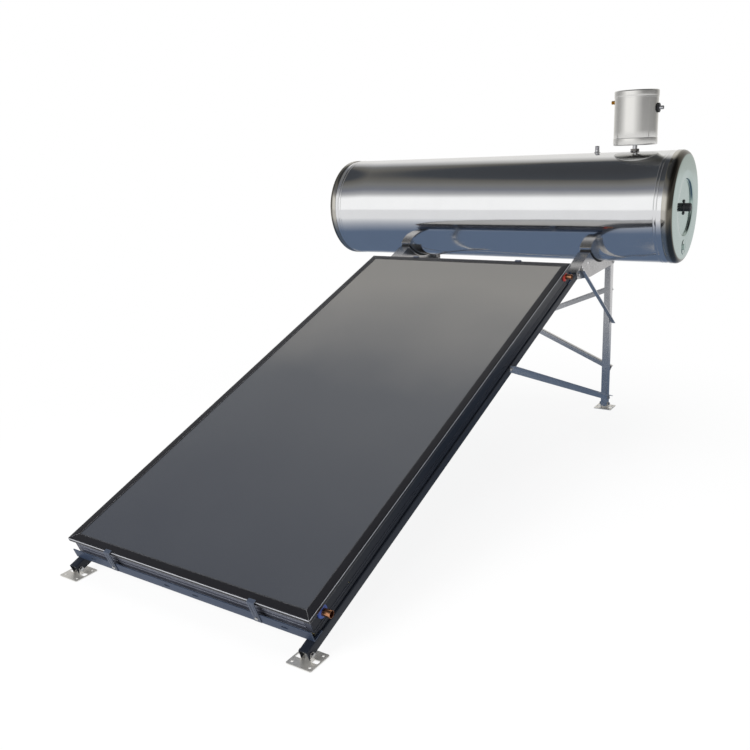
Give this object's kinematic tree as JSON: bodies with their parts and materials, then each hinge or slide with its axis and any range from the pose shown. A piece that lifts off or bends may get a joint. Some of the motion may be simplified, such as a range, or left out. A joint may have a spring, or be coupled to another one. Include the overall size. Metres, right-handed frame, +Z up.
{
  "type": "solar water heater",
  "caption": "Thermosiphon solar water heater: sloping flat-plate collector on a metal stand, horizontal insulated tank behind its upper edge, small float-valve feed tank on top.",
  "frame": {"origin": "centre of the whole part's box, on the plane under the foot plates", "axes": "+Z up, +Y from the collector's low edge towards the tank, +X to the tank's heater end"},
  "size_m": [1.799, 2.5716, 1.5091],
  "materials": {
    "frame_dark": "powder coat, satin",
    "bezel_black": "powder coat, satin",
    "collector_glass": "textured tempered glass over a black absorber",
    "seal_rubber": "matte",
    "absorber_black": "selective coating",
    "copper": "bare copper",
    "mineral_wool": "mineral wool",
    "sheet_zinc": "embossed sheet",
    "grommet_blue": "matte",
    "grommet_red": "matte",
    "rail_dark": "powder coat, satin",
    "cross_blue": "powder coat, satin",
    "clip_black": "powder coat, satin",
    "bolt_steel": "bright zinc",
    "stand_steel": "galvanised, bright",
    "foot_steel": "stainless, satin",
    "tank_polished": "polished stainless sheet",
    "cap_polished": "polished stainless pressing",
    "foam": "rigid foam",
    "inner_steel": "welded stainless",
    "brass": "machined",
    "heater_black": "moulded",
    "anode_metal": "cast",
    "feed_satin": "satin stainless",
    "chrome_fitting": "plated"
  },
  "bodies": {
    "stand": {"frame_side_left": "frame_dark", "frame_side_right": "frame_dark", "frame_end_lower": "frame_dark", "frame_end_upper": "frame_dark", "bezel_left": "bezel_black", "bezel_right": "bezel_black", "bezel_lower": "bezel_black", "bezel_upper": "bezel_black", "glass_cover": "collector_glass", "glass_gasket": "seal_rubber", "absorber_plate": "absorber_black", "riser_tubes": "copper", "header_lower": "copper", "header_upper": "copper", "collector_insulation": "mineral_wool", "back_sheet": "sheet_zinc", "blue_grommets": "grommet_blue", "red_grommets": "grommet_red", "rail_left": "rail_dark", "rail_right": "rail_dark", "cross_rail_lower": "cross_blue", "cross_rail_upper": "cross_blue", "hook_clips_lower": "clip_black", "hook_clips_upper": "clip_black", "clip_screws": "bolt_steel", "rail_rivets": "bolt_steel", "leg_left": "stand_steel", "leg_right": "stand_steel", "side_brace_left": "stand_steel", "side_brace_right": "stand_steel", "knee_brace_left": "stand_steel", "knee_brace_right": "stand_steel", "rear_brace_a": "stand_steel", "rear_brace_b": "stand_steel", "saddle_left": "stand_steel", "saddle_right": "stand_steel", "saddle_pads": "seal_rubber", "frame_bolts": "bolt_steel", "pivot_bolts": "bolt_steel", "tank_shell": "tank_polished", "tank_cap_left": "cap_polished", "tank_cap_right": "cap_polished", "tank_foam": "foam", "inner_tank": "inner_steel", "tank_nipples": "brass", "heater_cover": "heater_black", "heating_element": "copper", "anode_rod": "anode_metal", "cap_screws": "bolt_steel", "feed_body": "feed_satin", "feed_inlet": "brass", "feed_overflow": "chrome_fitting"},
    "foot_front_left": {"foot_front_left": "foot_steel"},
    "foot_front_right": {"foot_front_right": "foot_steel"},
    "foot_rear_left": {"foot_rear_left": "foot_steel"},
    "foot_rear_right": {"foot_rear_right": "foot_steel"},
    "lid": {"feed_lid": "feed_satin"},
    "float": {"float_arm": "brass"},
    "plunger": {"valve_plunger": "inner_steel"}
  },
  "joints": [
    {"name": "foot_front_left_swivel", "type": "hinge", "parent": "stand", "child": "foot_front_left", "pos_m": [-0.465, -1.24283, 0.02], "axis": [1, 0, 0], "range_deg": [-25, 20]},
    {"name": "foot_front_right_swivel", "type": "hinge", "parent": "stand", "child": "foot_front_right", "pos_m": [0.495, -1.24283, 0.02], "axis": [1, 0, 0], "range_deg": [-25, 20]},
    {"name": "foot_rear_left_swivel", "type": "hinge", "parent": "stand", "child": "foot_rear_left", "pos_m": [-0.465, 1.21483, 0.02], "axis": [1, 0, 0], "range_deg": [-20, 20]},
    {"name": "foot_rear_right_swivel", "type": "hinge", "parent": "stand", "child": "foot_rear_right", "pos_m": [0.495, 1.21483, 0.02], "axis": [1, 0, 0], "range_deg": [-20, 20]},
    {"name": "lid_lift", "type": "slide", "parent": "stand", "child": "lid", "axis": [0, 0, 1], "range_m": [0, 0.15]},
    {"name": "float_swing", "type": "hinge", "parent": "stand", "child": "float", "pos_m": [0.586, 1.04283, 1.45], "axis": [0, 1, 0], "range_deg": [-30, 0]},
    {"name": "plunger_slide", "type": "slide", "parent": "stand", "child": "plunger", "axis": [1, 0, 0], "range_m": [-0.0055, 0]}
  ],
  "couplings": [
    {"joint": "plunger_slide", "follows": "float_swing", "m_per_rad": 0.01}
  ]
}
